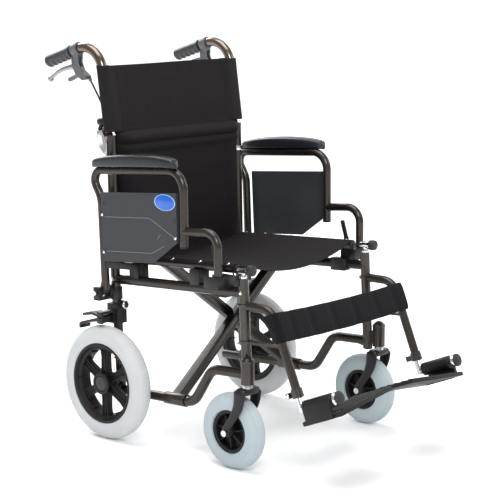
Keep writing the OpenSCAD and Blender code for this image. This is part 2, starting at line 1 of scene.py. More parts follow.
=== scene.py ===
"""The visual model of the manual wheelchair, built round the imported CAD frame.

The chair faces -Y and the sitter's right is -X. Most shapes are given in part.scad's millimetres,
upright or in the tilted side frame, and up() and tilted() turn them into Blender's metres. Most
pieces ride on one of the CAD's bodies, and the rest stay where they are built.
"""
import bpy
import bmesh
import json
import math
from mathutils import Matrix, Vector, noise

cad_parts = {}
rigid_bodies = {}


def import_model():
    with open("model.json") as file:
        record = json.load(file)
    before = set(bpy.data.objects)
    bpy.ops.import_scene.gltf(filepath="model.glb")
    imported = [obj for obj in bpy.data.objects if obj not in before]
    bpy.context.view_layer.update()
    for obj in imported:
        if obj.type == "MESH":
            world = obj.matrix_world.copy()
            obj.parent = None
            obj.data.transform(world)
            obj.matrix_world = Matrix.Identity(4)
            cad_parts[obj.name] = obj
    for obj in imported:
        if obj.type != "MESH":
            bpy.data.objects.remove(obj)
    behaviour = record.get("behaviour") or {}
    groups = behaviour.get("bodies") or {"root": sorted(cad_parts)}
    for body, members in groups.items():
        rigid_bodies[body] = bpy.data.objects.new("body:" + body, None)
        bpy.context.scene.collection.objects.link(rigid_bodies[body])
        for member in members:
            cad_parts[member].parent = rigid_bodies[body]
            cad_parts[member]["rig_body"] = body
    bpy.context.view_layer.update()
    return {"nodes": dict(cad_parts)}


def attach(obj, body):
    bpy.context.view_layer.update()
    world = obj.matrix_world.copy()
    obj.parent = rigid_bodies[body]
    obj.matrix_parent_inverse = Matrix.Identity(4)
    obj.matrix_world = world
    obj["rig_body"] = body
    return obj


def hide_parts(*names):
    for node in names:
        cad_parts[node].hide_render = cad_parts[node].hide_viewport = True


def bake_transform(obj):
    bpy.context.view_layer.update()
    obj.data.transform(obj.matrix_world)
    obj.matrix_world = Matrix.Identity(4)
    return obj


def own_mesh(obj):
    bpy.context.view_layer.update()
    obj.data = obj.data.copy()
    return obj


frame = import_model()
nodes = frame["nodes"]

# ---- the chair's own coordinates, as in part.scad: millimetres in, metres out ----
CENTRE_Y = 45.3             # from the chair's own origin to the middle of its bounding box
TILT = math.radians(2.8)    # the side frames lean back
FRAME_X = 240               # posts, side rails and hangers
CANE_X = 242                # back canes
RAIL_X, SEAT_Z = 226, 478   # seat rails
SIDES = (("right", -1), ("left", 1))


def up(x, y, z):
    """A point given upright, in mm."""
    return Vector((x, y + CENTRE_Y, z)) / 1000


def tilted(x, y, z):
    """A point given in the tilted side frame's coordinates, in mm."""
    c, k = math.cos(TILT), math.sin(TILT)
    return up(x, c * y + k * z, -k * y + c * z)


# ---- camera ----
def camera():
    """The photograph's viewpoint: angles, place and lens solved from the wheels and posts."""
    data = bpy.data.cameras.new("camera")
    obj = bpy.data.objects.new("camera", data)
    bpy.context.scene.collection.objects.link(obj)
    yaw, pitch, roll = (math.radians(v) for v in (48.306, 9.869, -0.233))
    ahead = Vector((math.sin(yaw) * math.cos(pitch), math.cos(yaw) * math.cos(pitch),
                    -math.sin(pitch)))
    level = Vector((math.cos(yaw), -math.sin(yaw), 0))
    upright = level.cross(ahead)
    right = math.cos(roll) * level + math.sin(roll) * upright
    top = -math.sin(roll) * level + math.cos(roll) * upright
    m = Matrix((right, top, -ahead)).transposed().to_4x4()
    m.translation = up(-2930.84, -2658.41, 1170.71)
    obj.matrix_world = m
    data.sensor_width = 36
    data.lens = 110.25
    data.shift_x = -0.0019
    data.clip_end = 60
    bpy.context.scene.camera = obj


camera()


# ---- materials ----
class Nodes:
    """A material's node tree, with short calls for what is used here."""

    def __init__(self, name):
        self.mat = bpy.data.materials.new(name)
        self.mat.use_nodes = True
        self.tree = self.mat.node_tree
        self.bsdf = self.tree.nodes["Principled BSDF"]
        self.coords = self.tree.nodes.new("ShaderNodeTexCoord")

    def new(self, kind, **values):
        n = self.tree.nodes.new(kind)
        for key, value in values.items():
            if hasattr(n, key):
                setattr(n, key, value)
            else:
                n.inputs[key.replace("_", " ")].default_value = value
        return n

    def link(self, a, b):
        self.tree.links.new(a, b)

    def set(self, **values):
        for key, value in values.items():
            self.bsdf.inputs[key.replace("_", " ")].default_value = value

    def noise(self, scale, detail=3.0, roughness=0.55, stretch=None):
        n = self.new("ShaderNodeTexNoise", Scale=scale, Detail=detail, Roughness=roughness)
        source = self.coords.outputs["Object"]
        if stretch:
            m = self.new("ShaderNodeMapping")
            m.inputs["Scale"].default_value = stretch
            self.link(source, m.inputs["Vector"])
            source = m.outputs["Vector"]
        self.link(source, n.inputs["Vector"])
        return n.outputs["Fac"]

    def ramp(self, fac, stops):
        """Colours picked by fac, from [(position, (r, g, b))]."""
        n = self.new("ShaderNodeValToRGB")
        e = n.color_ramp.elements
        while len(e) < len(stops):
            e.new(0.5)
        for el, (pos, col) in zip(e, stops):
            el.position = pos
            el.color = (*col, 1)
        self.link(fac, n.inputs["Fac"])
        return n.outputs["Color"]

    def grey(self, fac, low, high, a=0.3, b=0.7):
        """A number that goes from low to high as fac goes from a to b."""
        n = self.new("ShaderNodeMapRange")
        n.inputs["From Min"].default_value = a
        n.inputs["From Max"].default_value = b
        n.inputs["To Min"].default_value = low
        n.inputs["To Max"].default_value = high
        self.link(fac, n.inputs["Value"])
        return n.outputs["Result"]

    def math(self, op, a, b):
        n = self.new("ShaderNodeMath", operation=op)
        for i, v in enumerate((a, b)):
            if isinstance(v, (int, float)):
                n.inputs[i].default_value = v
            else:
                self.link(v, n.inputs[i])
        return n.outputs[0]

    def bump(self, height, strength, distance, normal=None):
        n = self.new("ShaderNodeBump", Strength=strength, Distance=distance)
        self.link(height, n.inputs["Height"])
        if normal is not None:
            self.link(normal, n.inputs["Normal"])
        return n.outputs["Normal"]


def tone(colour, k):
    """A colour made k times as bright."""
    return tuple(min(1.0, c * k) for c in colour)


def simple(name, colour, rough=(0.3, 0.45), metallic=0.0, grain=400, bump=0.15, vary=0.15,
           edge=0.0, **extra):
    """Paint, metal or moulded plastic: colour that varies a little, uneven gloss, fine grain, and
    lighter rubbed edges where edge is above 0."""
    n = Nodes(name)
    cloud = n.noise(9.0)
    fine = n.noise(grain, detail=2.0)
    colour_out = n.ramp(cloud, [(0.3, tone(colour, 1 - vary)), (0.7, tone(colour, 1 + vary))])
    if edge:
        geo = n.new("ShaderNodeNewGeometry")
        mask = n.grey(geo.outputs["Pointiness"], 0.0, edge, 0.52, 0.60)
        mix = n.new("ShaderNodeMix", data_type="RGBA")
        n.link(n.math("MULTIPLY", mask, n.noise(60.0)), mix.inputs[0])
        n.link(colour_out, mix.inputs[6])
        mix.inputs[7].default_value = (*tone(colour, 3.0), 1)
        colour_out = mix.outputs[2]  # sockets 6, 7 and 2 are the colour ones
    n.link(colour_out, n.bsdf.inputs["Base Color"])
    n.link(n.grey(cloud, rough[0], rough[1]), n.bsdf.inputs["Roughness"])
    n.link(n.bump(fine, bump, 0.0004), n.bsdf.inputs["Normal"])
    n.set(Metallic=metallic, **extra)
    return n.mat


def cloth(name, colour, weave=1150.0, sheen=0.03):
    """A woven fabric: two crossed threads in the bump, slub in the bump and the colour, slight
    fading and creases.
    """
    n = Nodes(name)
    sep = n.new("ShaderNodeSeparateXYZ")
    n.link(n.coords.outputs["Object"], sep.inputs["Vector"])
    along = n.math("SINE", n.math("MULTIPLY", sep.outputs["X"], weave * 2), 0)
    depth = n.math("ADD", sep.outputs["Y"], n.math("MULTIPLY", sep.outputs["Z"], 1.3))
    across = n.math("SINE", n.math("MULTIPLY", depth, weave * 2), 0)
    threads = n.math("MULTIPLY", n.math("MULTIPLY", along, across), 0.5)
    cloud = n.noise(6.0, detail=4.0)
    slub = n.noise(220.0, detail=3.0, stretch=(1.0, 0.15, 0.15))
    mixed = n.math("ADD", n.math("MULTIPLY", cloud, 0.6), n.math("MULTIPLY", slub, 0.4))
    n.link(n.ramp(mixed, [(0.3, tone(colour, 0.72)), (0.7, tone(colour, 1.32))]),
           n.bsdf.inputs["Base Color"])
    creases = n.noise(14.0, detail=5.0)
    base = n.bump(creases, 0.25, 0.004)
    n.link(n.bump(n.math("ADD", threads, slub), 0.35, 0.0004, base), n.bsdf.inputs["Normal"])
    n.link(n.grey(cloud, 0.72, 0.9), n.bsdf.inputs["Roughness"])
    n.set(Sheen_Weight=sheen, Sheen_Roughness=0.5, Specular_IOR_Level=0.12)
    return n.mat


M = {
    "frame": simple("bronze_paint", (0.048, 0.041, 0.036), (0.24, 0.34), 0.8, 900, 0.12, 0.12, 0.5,
                    Coat_Weight=0.15, Coat_Roughness=0.15),
    "bright_frame": simple("rubbed_bronze", (0.17, 0.135, 0.112), (0.16, 0.24), 0.95, 900, 0.08,
                           0.1),
    "black_metal": simple("black_paint", (0.010, 0.010, 0.011), (0.28, 0.4), 0.2, 700, 0.2, 0.2,
                          0.35, Specular_IOR_Level=0.4),
    "black_plastic": simple("black_moulding", (0.010, 0.010, 0.011), (0.42, 0.55), 0.0, 1300, 0.35,
                            0.2, 0.4, Specular_IOR_Level=0.25),
    "chrome": simple("polished_chrome", (0.72, 0.72, 0.74), (0.1, 0.2), 1.0, 500, 0.05, 0.06),
    "alloy": simple("cast_alloy", (0.32, 0.33, 0.34), (0.3, 0.42), 0.9, 800, 0.3, 0.12),
    "cast": simple("painted_casting", (0.085, 0.088, 0.095), (0.38, 0.5), 0.35, 700, 0.3, 0.15,
                   0.4),
    "tyre": simple("grey_tyre", (0.53, 0.55, 0.56), (0.55, 0.7), 0.0, 500, 0.3, 0.05,
                   Specular_IOR_Level=0.35),
    "caster_tyre": simple("caster_grey_tyre", (0.41, 0.475, 0.505), (0.42, 0.58), 0.0, 500, 0.3,
                          0.05, Specular_IOR_Level=0.4),
    "grip": simple("grip_rubber", (0.026, 0.028, 0.033), (0.38, 0.5), 0.0, 1500, 0.4, 0.12, 0.2),
    "pad": simple("pad_skin", (0.012, 0.0135, 0.018), (0.26, 0.36), 0.0, 900, 0.5, 0.15, 0.0,
                  Specular_IOR_Level=0.45),
    "panel": simple("panel_plastic", (0.036, 0.039, 0.044), (0.5, 0.62), 0.0, 650, 0.8, 0.08, 0.0,
                    Specular_IOR_Level=0.35),
    # painted highlight: the side panels' raised lines are the panel's own plastic, painted about
    # four times lighter for the light they catch
    "panel_bead": simple("raised_line_painted_highlight", (0.135, 0.14, 0.148), (0.4, 0.5), 0.0, 650, 0.3,
                         0.05),
    "badge": simple("badge_blue", (0.0, 0.115, 0.60), (0.2, 0.3), 0.0, 600, 0.05, 0.12,
                    Coat_Weight=0.5),
    "badge_rim": simple("badge_light", (0.35, 0.55, 0.85), (0.2, 0.3), 0.0, 600, 0.05, 0.1),
    "cable": simple("cable_sleeve", (0.014, 0.014, 0.015), (0.35, 0.45), 0.0, 900, 0.1, 0.1),
    "rubber_tip": simple("rubber_tip", (0.012, 0.012, 0.013), (0.5, 0.65), 0.0, 900, 0.3, 0.1),
    "cloth": cloth("upholstery", (0.0098, 0.0080, 0.0094)),
    # painted sheen: the same cloth a little lighter, for the sleeves where the cloth curves round
    # the canes and catches the light
    "cloth_painted_sheen": cloth("sleeve_painted_sheen", (0.0125, 0.0112, 0.0118)),
    "thread": simple("stitching", (0.010, 0.009, 0.010), (0.6, 0.8), 0.0, 3000, 0.5, 0.2),
    "strap": cloth("strap_cloth", (0.0065, 0.0060, 0.0075), weave=900.0),
}


# ---- meshes ----
def piece(name, verts, faces, mat, body=None, bevel=0.0, subsurf=0, angle=35, replaces=(),
          weld=True):
    """A mesh piece of the object, finished with its material, body and modifiers."""
    me = bpy.data.meshes.new(name)
    me.from_pydata([tuple(v) for v in verts], [], faces)
    me.validate()
    bm = bmesh.new()
    bm.from_mesh(me)
    if weld:
        bmesh.ops.remove_doubles(bm, verts=bm.verts, dist=1e-6)
    bmesh.ops.recalc_face_normals(bm, faces=bm.faces)
    bm.to_mesh(me)
    bm.free()
    obj = bpy.data.objects.new(name, me)
    bpy.context.scene.collection.objects.link(obj)
    return dress(obj, mat, body, bevel, subsurf, angle, replaces)


def dress(obj, mat, body, bevel=0.0, subsurf=0, angle=35, replaces=()):
    """Gives a piece its material, rounded edges, smooth shading and body, and hides the CAD nodes
    it replaces.
    """
    obj.data.materials.clear()
    obj.data.materials.append(M[mat])
    if bevel:
        m = obj.modifiers.new("bevel", "BEVEL")
        m.width = bevel
        m.segments = 2
        m.limit_method = "ANGLE"
        m.angle_limit = math.radians(angle)
        m.harden_normals = False
    if subsurf:
        m = obj.modifiers.new("subsurf", "SUBSURF")
        m.levels = m.render_levels = subsurf
    apply_modifiers(obj)
    obj.data.shade_smooth()
    if not subsurf:
        obj.data.set_sharp_from_angle(angle=math.radians(angle + 15))
    if body:
        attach(obj, body)
    if replaces:
        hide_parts(*replaces)
    return obj


def apply_modifiers(obj):
    """Puts the result of an object's modifiers in its mesh."""
    if not obj.modifiers:
        return
    bpy.context.view_layer.update()
    graph = bpy.context.evaluated_depsgraph_get()
    me = bpy.data.meshes.new_from_object(obj.evaluated_get(graph))
    obj.modifiers.clear()
    obj.data = me


def turn(n):
    """The angles of n points round a circle."""
    return [2 * math.pi * k / n for k in range(n)]


def boxy(value, power):
    """A sine or cosine to a power, its sign kept. Below 1 it makes a circle more of a square."""
    return math.copysign(abs(value) ** power, value)


def grid_faces(rows, cols, close_rows=False, close_cols=False):
    """The faces of a grid of points, which may close on itself in either direction."""
    faces = []
    for i in range(rows if close_rows else rows - 1):
        for j in range(cols if close_cols else cols - 1):
            a, b = i, (i + 1) % rows
            c, d = j, (j + 1) % cols
            faces.append((a * cols + c, a * cols + d, b * cols + d, b * cols + c))
    return faces


def end_faces(rows, sides):
    """The two end faces of a tube made of rings of points."""
    return [tuple(range(sides))[::-1], tuple((rows - 1) * sides + k for k in range(sides))]


def prism_faces(n):
    """Two outlines of n points each, and the faces between them."""
    return ([tuple(range(n))[::-1], tuple(range(n, 2 * n))]
            + [(i, (i + 1) % n, n + (i + 1) % n, n + i) for i in range(n)])


def lathe_x(centre, profile, steps, wave=None):
    """A ring turned about the X axis through centre. profile is [(x, radius)] in mm, and wave
    adds to the radius of point j at step i."""
    verts = []
    for i, a in enumerate(turn(steps)):
        for j, (x, r) in enumerate(profile):
            rr = r + (wave(i, j) if wave else 0)
            verts.append(centre + Vector((x, rr * math.cos(a), rr * math.sin(a))) / 1000)
    return verts, grid_faces(steps, len(profile), True, True)


def sweep(points, radius, sides, squeeze=1.0):
    """A capped tube through points. radius is one number or one per point, all in metres."""
    n = len(points)
    radii = radius if isinstance(radius, (list, tuple)) else [radius] * n
    verts = []
    normal = None
    for i, p in enumerate(points):
        t = (points[min(i + 1, n - 1)] - points[max(i - 1, 0)]).normalized()
        if normal is None:
            normal = t.cross(Vector((1, 0, 0)))
            if normal.length < 0.1:
                normal = t.cross(Vector((0, 0, 1)))
        normal = (normal - t * normal.dot(t)).normalized()
        side = t.cross(normal)
        for a in turn(sides):
            verts.append(p + radii[i] * (math.cos(a) * normal + squeeze * math.sin(a) * side))
    return verts, grid_faces(n, sides, False, True) + end_faces(n, sides)


def smooth_path(points, per=6):
    """A Catmull-Rom curve through points."""
    out = []
    for i in range(len(points) - 1):
        p0, p1 = points[max(i - 1, 0)], points[i]
        p2, p3 = points[i + 1], points[min(i + 2, len(points) - 1)]
        for k in range(per):
            t = k / per
            out.append(0.5 * ((2 * p1) + (p2 - p0) * t + (2 * p0 - 5 * p1 + 4 * p2 - p3) * t * t
                              + (3 * p1 - p0 - 3 * p2 + p3) * t ** 3))
    out.append(points[-1])
    return out


def prism(outline, x0, x1):
    """An upright outline of (y, z) extruded from x0 to x1, all in mm."""
    return [up(x, y, z) for x in (x0, x1) for y, z in outline], prism_faces(len(outline))


def join(*parts):
    """Several (vertices, faces) as one."""
    verts, faces = [], []
    for v, f in parts:
        base = len(verts)
        verts += list(v)
        faces += [tuple(base + i for i in face) for face in f]
    return verts, faces


def across(axis):
    """An axis as a unit vector, and two more at right angles to it."""
    axis = Vector(axis).normalized()
    u = axis.orthogonal().normalized()
    return axis, u, axis.cross(u)


DOME = ((1.0, 0.0), (1.0, 0.35), (0.93, 0.6), (0.72, 0.85), (0.4, 0.97))  # (radius, height)


def dome(centre, axis, r, h, sides=20):
    """A domed head: centre of its base, its axis, radius and height, in metres."""
    axis, u, v = across(axis)
    verts = [centre + axis * (h * hh) + r * rr * (math.cos(a) * u + math.sin(a) * v)
             for rr, hh in DOME for a in turn(sides)]
    rings = len(DOME)
    return verts, grid_faces(rings, sides, False, True) + end_faces(rings, sides)[::-1]


def hex_head(centre, axis, r, h):
    """A hexagonal head or nut, given as a dome is."""
    axis, u, v = across(axis)
    verts = [centre + axis * z + r * (math.cos(a) * u + math.sin(a) * v)
             for z in (0, h) for a in turn(6)]
    return verts, prism_faces(6)


def bar(hub, angle, sections):
    """A flat bar from a wheel's hub outwards. sections is two of (radius, half width, x0, x1)."""
    out = Vector((0, math.cos(angle), math.sin(angle)))
    tan = Vector((0, -math.sin(angle), math.cos(angle)))
    verts = [hub + (out * r + tan * wide + Vector((x, 0, 0))) / 1000
             for r, w, x0, x1 in sections
             for wide, x in ((-w, x0), (w, x0), (w, x1), (-w, x1))]
    return verts, grid_faces(2, 4, False, True) + [(0, 1, 2, 3), (4, 5, 6, 7)]


def refined(node, mat, bevel=0.0008, angle=30):
    """A CAD node with its edges rounded: the same solid, in a piece of its own."""
    src = nodes[node]
    me = src.data.copy()
    bm = bmesh.new()
    bm.from_mesh(me)
    bmesh.ops.remove_doubles(bm, verts=bm.verts, dist=2e-6)
    bmesh.ops.dissolve_limit(bm, angle_limit=math.radians(1.5), verts=bm.verts, edges=bm.edges)
    bm.to_mesh(me)
    bm.free()
    me.name = node + "_rounded"
    obj = bpy.data.objects.new(node + "_rounded", me)
    bpy.context.scene.collection.objects.link(obj)
    return dress(obj, mat, src["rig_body"], bevel, 0, angle, (node,))


def keep(node, mat):
    """A CAD node that stays as it is, with its material and smooth tube walls."""
    obj = nodes[node]
    obj.data.materials.clear()
    obj.data.materials.append(M[mat])
    obj.data.shade_smooth()
    obj.data.set_sharp_from_angle(angle=math.radians(35))


# ---- wheels ----
CASTER_X, STEM_Y = 262, -268.5   # the casters' middle planes, and their swivel axes
# profiles of the rear rim and hub, (x outwards, radius) in mm
REAR_RIM = ((-21, 88), (-21, 105.9), (21, 105.9), (23.5, 104), (23.5, 99), (20, 96.5), (14, 95),
            (10, 88))
REAR_HUB = ((-22, 14), (-22, 22), (-12, 26), (16, 26), (19, 29), (24, 29), (25, 27), (25, 22),
            (22.5, 20.5), (22.5, 0.01), (-20, 0.01), (-20, 14))
REAR_CAP = ((21, 0.01), (21, 19), (23.2, 19), (24.2, 17), (24.4, 8), (24.4, 0.01))


def rear_wheel(side, s):
    """A rear wheel: a block-treaded tyre, a lipped rim, a dished hub and six channelled spokes."""
    body = f"{side}_rear_wheel"
    hub = up(289 * s, 197.56, 150)
    half, r_out, r_in = 27, 150, 106
    prof = []
    for j in range(25):
        t = math.pi * (j / 24)
        x = -half * math.cos(t)
        bulge = math.sin(t) ** 0.62
        prof.append((x * (0.90 + 0.10 * bulge), r_in + 1.5 + (r_out - 1.6 - r_in - 1.5) * bulge))
    prof += [(20, r_in - 1), (-20, r_in - 1)]

    def tread(i, j):
        """The tread's blocks and grooves in mm, at step i round the tyre and point j across it."""
        if j in (4, 5, 19, 18):
            return -1.2 if i % 4 == 0 else 0.9
        if j in (6, 17):
            return -0.9
        if j in (8, 11, 13, 16):
            return 1.4 if i % 4 < 3 else 0.2
        if j in (9, 10, 14, 15, 12):
            return 1.5 if (i + (2 if j % 2 else 0)) % 4 < 3 else -0.2
        return 0
    piece(f"{side}_rear_tyre_tread", *lathe_x(hub, prof, 288, tread), "tyre", body,
          replaces=(f"{side}_rear_tyre",), angle=60)
    piece(f"{side}_rear_rim_ring", *lathe_x(hub, [(s * x, r) for x, r in REAR_RIM], 96),
          "black_plastic", body, bevel=0.0006, replaces=(f"{side}_rear_rim",))
    piece(f"{side}_rear_hub", *lathe_x(hub, [(s * x, r) for x, r in REAR_HUB], 48),
          "black_plastic", body, bevel=0.0006)
    spokes = []
    for k in range(6):
        a = math.radians(60 * k + 30)
        out = Vector((0, math.cos(a), math.sin(a)))
        tan = Vector((0, -math.sin(a), math.cos(a)))
        # each section, at radius r, is a shallow channel that opens outwards
        verts = []
        for r, w, t in ((22, 12.5, 11), (40, 10.0, 10), (70, 10.5, 9), (90, 15, 9)):
            for wx, tx in ((-w, -t), (w, -t), (w, t), (w * 0.68, t), (w * 0.6, t - 5),
                           (-w * 0.6, t - 5), (-w * 0.68, t), (-w, t)):
                verts.append(hub + (out * r + tan * wx + Vector((s * 2 + s * tx, 0, 0))) / 1000)
        faces = grid_faces(4, 8, False, True)
        spokes.append((verts, faces + [tuple(range(8)), tuple(24 + i for i in range(8))]))
        spokes.append(bar(hub, a, [(26, 1.6, s * 2, s * 9), (92, 1.6, s * 2, s * 9)]))
    # thin ribs half-way between the spokes
    for k in range(6):
        spokes.append(bar(hub, math.radians(60 * k),
                          [(84, 1.5, s * -8, s * 14), (96, 2.0, s * -8, s * 14)]))
    piece(f"{side}_rear_spokes", *join(*spokes), "black_plastic", body, bevel=0.0012, weld=False)
    piece(f"{side}_rear_hub_cap", *lathe_x(hub, [(s * x, r) for x, r in REAR_CAP], 40), "panel",
          body, bevel=0.0004)


def caster(side, s):
    """A caster's wheel: a grooved tyre, and a rim with a thin web and seven ribs."""
    body = f"{side}_caster_wheel"
    hub = up(CASTER_X * s, -223.5, 95)
    prof = []
    for j in range(49):
        t = math.pi * (j / 48)
        x = -24 * math.cos(t)
        bulge = math.sin(t) ** 0.66
        groove = -2.2 if j in (14, 19, 24, 29, 34) else 0
        prof.append((x * (0.92 + 0.08 * bulge), 55.5 + (94.9 - 55.5) * bulge + groove))
    prof += [(17, 53.5), (-17, 53.5)]
    piece(f"{side}_caster_tyre_ribbed", *lathe_x(hub, prof, 128), "caster_tyre", body, angle=50,
          replaces=(f"{side}_caster_tyre",))
    rings = [
        lathe_x(hub, [(-18, 46), (-18, 53.9), (18, 53.9), (18, 46), (16, 44.5), (-16, 44.5)], 72),
        lathe_x(hub, [(-2, 10), (-2, 46), (2, 46), (2, 10)], 72),
        lathe_x(hub, [(-25, 5.2), (-25, 11), (-18, 14), (18, 14), (25, 11), (25, 5.2)], 36),
    ]
    ribs = [bar(hub, a + 0.2, [(12, 2.2, -16, 16), (46, 1.3, -12, 12)]) for a in turn(7)]
    piece(f"{side}_caster_rim_ribs", *join(*rings, *ribs), "black_plastic", body, bevel=0.0005,
          replaces=(f"{side}_caster_rim",), weld=False)


for side, s in SIDES:
    rear_wheel(side, s)
    caster(side, s)


# ---- frame and fittings ----
# the brake cable's route on the left, upright, as in part.scad
CABLE = ((232, 298.5, 924), (230, 287, 905), (226, 269, 872), (221, 257, 842), (218, 250, 815),
         (217, 246, 786), (217, 243, 750), (218, 241, 700), (219, 239, 640), (220, 237, 580),
         (222, 236, 520), (225, 235, 460), (228, 231, 410), (227, 227, 380), (228.5, 221.5, 353))


def brake_cable(side, s):
    """The brake cable's sleeve, from the hand lever's casting down the back to the wheel brake."""
    path = smooth_path([up(s * x, y, z) for x, y, z in CABLE], 5)
    obj = piece(f"{side}_cable_sleeve", *sweep(path, 0.0025, 12), "cable", None, weld=False,
                replaces=(f"{side}_brake_cable",))
    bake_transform(obj)


def fork(side, s):
    """The caster fork: a crown over the tyre and two rounded legs swept back to the axle."""
    body = f"{side}_caster_fork"
    parts = []
    for leg_side in (-1, 1):
        x = CASTER_X * s + leg_side * 30
        # rear and front edge, height and half thickness of each section
        rows = [(-250.5, -287, 207, 6.2), (-250, -286, 195, 6.2), (-251, -283, 178, 5.6),
                (-247, -276, 160, 5.0), (-238, -263, 140, 4.6), (-224, -248, 122, 4.4),
                (-213, -237, 107, 4.4), (-210.5, -236, 95, 4.4), (-214, -233, 85.5, 4.2)]
        verts = []
        for y1, y0, z, t in rows:
            mid, w = (y0 + y1) / 2, (y1 - y0) / 2
            for a in turn(12):
                cy, cx = boxy(math.cos(a), 0.7), boxy(math.sin(a), 0.7)
                verts.append(up(x + t * cx * 0.72, mid + w * cy, z + (w * cy) * 0.18))
        faces = grid_faces(len(rows), 12, False, True)
        faces += [tuple(range(12)), tuple((len(rows) - 1) * 12 + k for k in range(12))]
        parts.append((verts, faces))
    piece(f"{side}_fork_legs", *join(*parts), "black_metal", body, subsurf=1)
    crown = []
    for z, w, d in ((196, 33, 17), (205, 34, 18), (210, 30, 16)):
        for a in turn(20):
            crown.append(up(CASTER_X * s + w * boxy(math.cos(a), 0.6),
                            STEM_Y + d * boxy(math.sin(a), 0.6), z))
    piece(f"{side}_fork_crown", crown, grid_faces(3, 20, False, True) + end_faces(3, 20),
          "black_metal", body, bevel=0.0015, replaces=(f"{side}_caster_fork",))
    stem = sweep([up(CASTER_X * s, STEM_Y, z) for z in (196, 212, 219)], [0.013, 0.013, 0.011], 24)
    piece(f"{side}_fork_stem", *stem, "chrome", body)


for side, s in SIDES:
    fork(side, s)
    brake_cable(side, s)
    for node, mat in (("side_frame", "frame"), ("arm_tube", "frame"), ("legrest_hanger", "frame"),
                      ("back_cane", "bright_frame"), ("rear_axle", "chrome"),
                      ("caster_axle", "chrome")):
        keep(f"{side}_{node}", mat)
    for node, mat in (("rail_fittings", "black_metal"), ("back_hinge", "chrome"),
                      ("brake_bracket", "black_metal"), ("brake_shoe", "black_metal"),
                      ("arm_lever", "black_plastic"), ("back_lock", "black_plastic"),
                      ("legrest_plunger", "chrome"), ("lower_leg", "chrome")):
        refined(f"{side}_{node}", mat)
keep("brace_bolt", "chrome")
refined("front_brace", "frame", 0.0016, 50)
refined("rear_brace", "frame", 0.0016, 50)


# ---- soft goods ----
def settle(obj, pinned, frames, stiffness):
    """Lets a sheet hang under its own weight between its pinned points, and keeps the result.
    After 14 frames the seat is about a millimetre below where it comes to rest."""
    group = obj.vertex_groups.new(name="pin")
    group.add(pinned, 1.0, "REPLACE")
    m = obj.modifiers.new("cloth", "CLOTH")
    c = m.settings
    c.vertex_group_mass = "pin"
    c.quality = 6
    c.mass = 0.35
    c.tension_stiffness = c.compression_stiffness = stiffness
    c.shear_stiffness = stiffness / 2
    c.bending_stiffness = 0.6
    c.air_damping = 4
    m.collision_settings.use_collision = False
    m.point_cache.frame_start = 1
    m.point_cache.frame_end = frames
    for f in range(1, frames + 1):
        bpy.context.scene.frame_set(f)
    apply_modifiers(obj)
    obj.vertex_groups.clear()
    bpy.context.scene.frame_set(1)


def sheet_mesh(name, rows):
    """A grid of points, rows by columns, as an object that isn't dressed yet."""
    me = bpy.data.meshes.new(name)
    me.from_pydata([tuple(v) for row in rows for v in row], [], grid_faces(len(rows), len(rows[0])))
    obj = bpy.data.objects.new(name, me)
    bpy.context.scene.collection.objects.link(obj)
    return obj


def thicken(obj, thickness, offset):
    """Gives a sheet its thickness, on the side that offset says: -1, 0 (both) or 1."""
    m = obj.modifiers.new("solid", "SOLIDIFY")
    m.thickness = thickness
    m.offset = offset
    m.use_even_offset = False
    apply_modifiers(obj)


THREAD = 0.0007  # radius, in metres


def stitches(name, points, normal, body):
    """A row of thread stitches along points on a cloth surface, one to every second gap."""
    parts = []
    lift = normal * THREAD * 0.9
    for a, b in zip(points[::2], points[1::2]):
        parts.append(sweep([a, a.lerp(b, 0.15) + lift, a.lerp(b, 0.75) + lift, a.lerp(b, 0.9)],
                           THREAD, 5))
    return piece(name, *join(*parts), "thread", body, weld=False)


def wrinkle(x, z, amount, scale, seed=0.0):
    """A smooth, uneven height of up to about amount, at a point of a sheet, all in metres."""
    return amount * noise.noise(Vector((x * scale, z * scale * 0.6, seed)))


